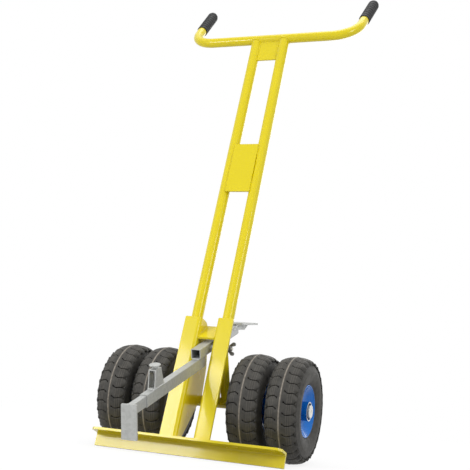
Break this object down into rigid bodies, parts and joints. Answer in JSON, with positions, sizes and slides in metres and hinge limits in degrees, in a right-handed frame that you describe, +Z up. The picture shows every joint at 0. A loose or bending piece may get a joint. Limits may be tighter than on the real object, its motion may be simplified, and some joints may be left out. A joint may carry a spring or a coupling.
{
  "type": "tile transport cart",
  "caption": "Leaning two-tube hand cart on twin pairs of pneumatic wheels, with a toe angle and a foot lever whose sliding hook grips a stack of tiles to lift and wheel it.",
  "frame": {"origin": "middle of the floor space the cart takes, on the floor", "axes": "+X across the cart, to the wing nut's side; +Y to the back, where the user stands; +Z up"},
  "size_m": [0.5692, 0.85, 1.3688],
  "materials": {
    "yellow_paint": "glossy powder coat",
    "galvanised": "dull zinc coat",
    "zinc_steel": "bright zinc plate",
    "tyre_rubber": "matt, moulded",
    "rim_paint": "glossy enamel",
    "grip_rubber": "matt, ribbed",
    "valve_rubber": "matt",
    "dark_nut": "dark phosphate"
  },
  "bodies": {
    "frame": {"upright_tube_right": "yellow_paint", "upright_tube_left": "yellow_paint", "handlebar": "yellow_paint", "grip_right": "grip_rubber", "grip_left": "grip_rubber", "top_plate": "yellow_paint", "mid_plate": "yellow_paint", "lower_upright_right": "yellow_paint", "lower_upright_left": "yellow_paint", "toe_angle": "yellow_paint", "cross_plate": "yellow_paint", "axle_tube": "yellow_paint", "strut_right": "yellow_paint", "strut_left": "yellow_paint", "axle": "zinc_steel", "axle_spacers": "zinc_steel", "axle_washers": "zinc_steel", "axle_caps": "zinc_steel", "pivot_bolt": "zinc_steel", "pivot_washers": "zinc_steel"},
    "wheel_inner_right": {"tyre_inner_right": "tyre_rubber", "rim_inner_right": "rim_paint", "hub_inner_right": "zinc_steel", "bearings_inner_right": "zinc_steel", "valve_inner_right": "valve_rubber"},
    "wheel_inner_left": {"tyre_inner_left": "tyre_rubber", "rim_inner_left": "rim_paint", "hub_inner_left": "zinc_steel", "bearings_inner_left": "zinc_steel", "valve_inner_left": "valve_rubber"},
    "wheel_outer_right": {"tyre_outer_right": "tyre_rubber", "rim_outer_right": "rim_paint", "hub_outer_right": "zinc_steel", "bearings_outer_right": "zinc_steel", "valve_outer_right": "valve_rubber"},
    "wheel_outer_left": {"tyre_outer_left": "tyre_rubber", "rim_outer_left": "rim_paint", "hub_outer_left": "zinc_steel", "bearings_outer_left": "zinc_steel", "valve_outer_left": "valve_rubber"},
    "lever": {"lever_tube": "galvanised", "pivot_sleeve": "galvanised", "arm_tube": "galvanised", "clamp_bracket": "galvanised", "clamp_nut": "galvanised", "pedal_plate": "galvanised", "pedal_gussets": "galvanised"},
    "hook": {"hook_bar": "galvanised", "hook_plate": "galvanised"},
    "clamp": {"clamp_screw": "galvanised", "clamp_knob": "galvanised"},
    "wing_nut": {"wing_nut": "dark_nut"}
  },
  "joints": [
    {"name": "inner_right_wheel_spin", "type": "hinge", "parent": "frame", "child": "wheel_inner_right", "pos_m": [0.1275, 0.02298, 0.13], "axis": [1, 0, 0], "continuous": true},
    {"name": "inner_left_wheel_spin", "type": "hinge", "parent": "frame", "child": "wheel_inner_left", "pos_m": [-0.1275, 0.02298, 0.13], "axis": [1, 0, 0], "continuous": true},
    {"name": "outer_right_wheel_spin", "type": "hinge", "parent": "frame", "child": "wheel_outer_right", "pos_m": [0.2255, 0.02298, 0.13], "axis": [1, 0, 0], "continuous": true},
    {"name": "outer_left_wheel_spin", "type": "hinge", "parent": "frame", "child": "wheel_outer_left", "pos_m": [-0.2255, 0.02298, 0.13], "axis": [1, 0, 0], "continuous": true},
    {"name": "lever_pivot", "type": "hinge", "parent": "frame", "child": "lever", "pos_m": [0, -0.03508, 0.26644], "axis": [-1, 0, 0], "range_deg": [-8, 25]},
    {"name": "hook_slide", "type": "slide", "parent": "lever", "child": "hook", "axis": [0, -0.9511, -0.309], "range_m": [-0.045, 0.15]},
    {"name": "clamp_screw_turn", "type": "hinge", "parent": "lever", "child": "clamp", "pos_m": [0, -0.31684, 0.20485], "axis": [0, -0.309, 0.9511], "range_deg": [0, 720]},
    {"name": "wing_nut_turn", "type": "hinge", "parent": "frame", "child": "wing_nut", "pos_m": [0.06, -0.03508, 0.26644], "axis": [1, 0, 0], "range_deg": [0, 720]}
  ]
}
